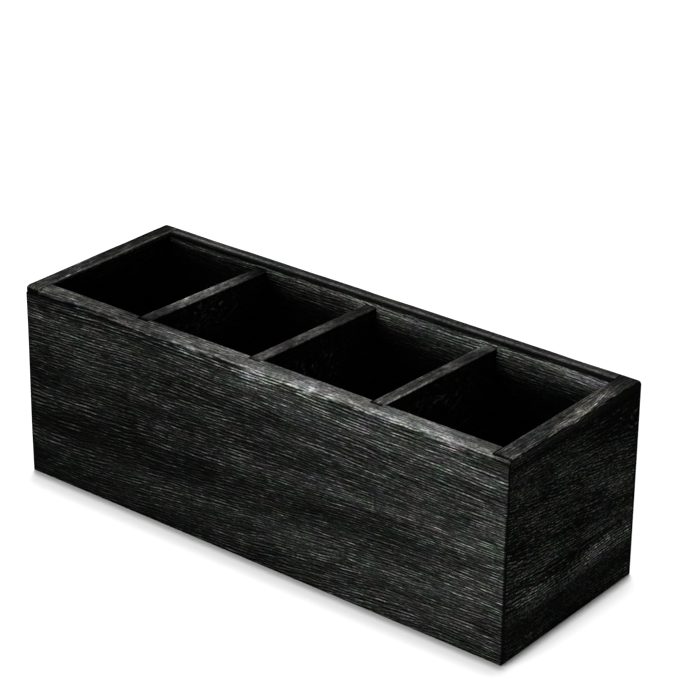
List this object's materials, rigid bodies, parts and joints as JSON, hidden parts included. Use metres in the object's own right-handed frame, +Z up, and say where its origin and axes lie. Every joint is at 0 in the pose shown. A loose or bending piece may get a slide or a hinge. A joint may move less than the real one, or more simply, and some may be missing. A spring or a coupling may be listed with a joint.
{
  "type": "cutlery organizer",
  "caption": "Open-topped rectangular caddy of black-stained boards, split by upright cross boards into side-by-side compartments that hold cutlery standing up.",
  "frame": {"origin": "centre of the underside, on the surface that the organizer stands on", "axes": "+X along the length towards the right end panel, +Y from the front panel to the back panel, +Z up out of the compartments"},
  "size_m": [0.282, 0.101, 0.099],
  "materials": {
    "stained_wood": "black-stained, wire-brushed along the grain, matt with a faint sheen on the rounded rim",
    "stained_wood_divider": "black-stained, smoother, matt, greyer on the sanded top edge",
    "stained_wood_bottom": "black-stained, matt",
    "brad_steel": "bright steel, dulled"
  },
  "bodies": {
    "root": {"front_panel": "stained_wood", "back_panel": "stained_wood", "left_end_panel": "stained_wood", "right_end_panel": "stained_wood", "left_divider": "stained_wood_divider", "middle_divider": "stained_wood_divider", "right_divider": "stained_wood_divider", "bottom_panel": "stained_wood_bottom", "brad_front_1": "brad_steel", "brad_front_2": "brad_steel", "brad_front_3": "brad_steel", "brad_front_4": "brad_steel", "brad_back_1": "brad_steel", "brad_back_2": "brad_steel", "brad_back_3": "brad_steel", "brad_back_4": "brad_steel", "brad_left_end_1": "brad_steel", "brad_left_end_2": "brad_steel", "brad_right_end_1": "brad_steel", "brad_right_end_2": "brad_steel", "brad_left_divider_1": "brad_steel", "brad_left_divider_2": "brad_steel", "brad_middle_divider_1": "brad_steel", "brad_middle_divider_2": "brad_steel", "brad_right_divider_1": "brad_steel", "brad_right_divider_2": "brad_steel"}
  },
  "joints": []
}
